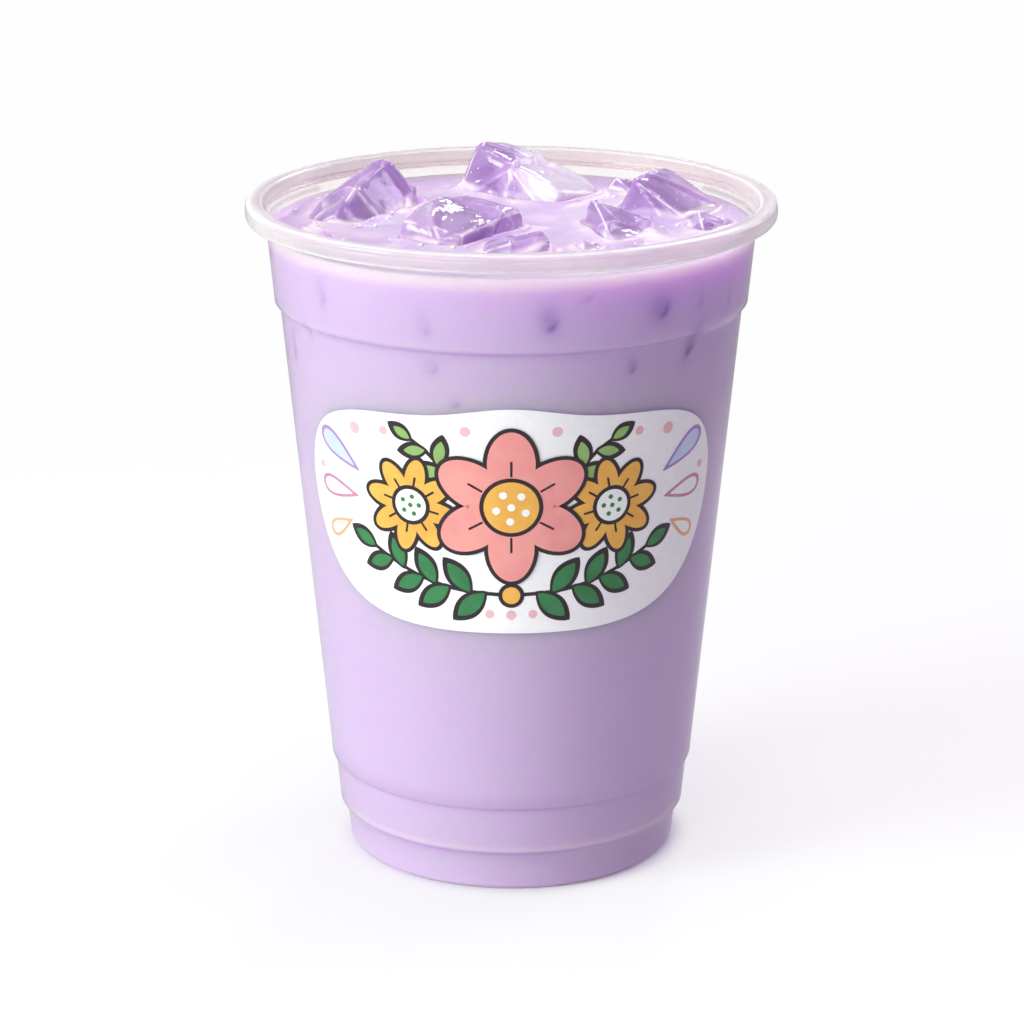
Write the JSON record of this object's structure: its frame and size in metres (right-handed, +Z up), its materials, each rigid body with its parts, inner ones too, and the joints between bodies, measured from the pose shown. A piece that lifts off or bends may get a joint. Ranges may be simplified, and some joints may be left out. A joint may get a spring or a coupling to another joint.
{
  "type": "iced taro milk tea in a clear cup",
  "caption": "Iced lavender taro milk tea in a clear lidless tapered cup with a rolled rim, ice breaking the surface and a white die-cut sticker.",
  "frame": {"origin": "centre of the foot ring, on the surface the cup stands on", "axes": "+Z up along the cup's axis, -Y towards the sticker's middle"},
  "size_m": [0.095, 0.095, 0.1248],
  "materials": {
    "clear_cup": "clear glossy thin plastic with a faint haze",
    "taro_milk": "opaque lavender milk, wet and smooth",
    "ice": "wet melting ice tinted by the milk under it",
    "sticker": "smooth white satin sticker with printed shapes"
  },
  "bodies": {
    "root": {"cup": "clear_cup", "drink": "taro_milk", "ice_1": "ice", "ice_2": "ice", "ice_3": "ice", "ice_4": "ice", "ice_5": "ice", "ice_6": "ice", "ice_7": "ice", "ice_8": "ice", "ice_9": "ice", "ice_10": "ice", "label": "sticker"}
  },
  "joints": []
}
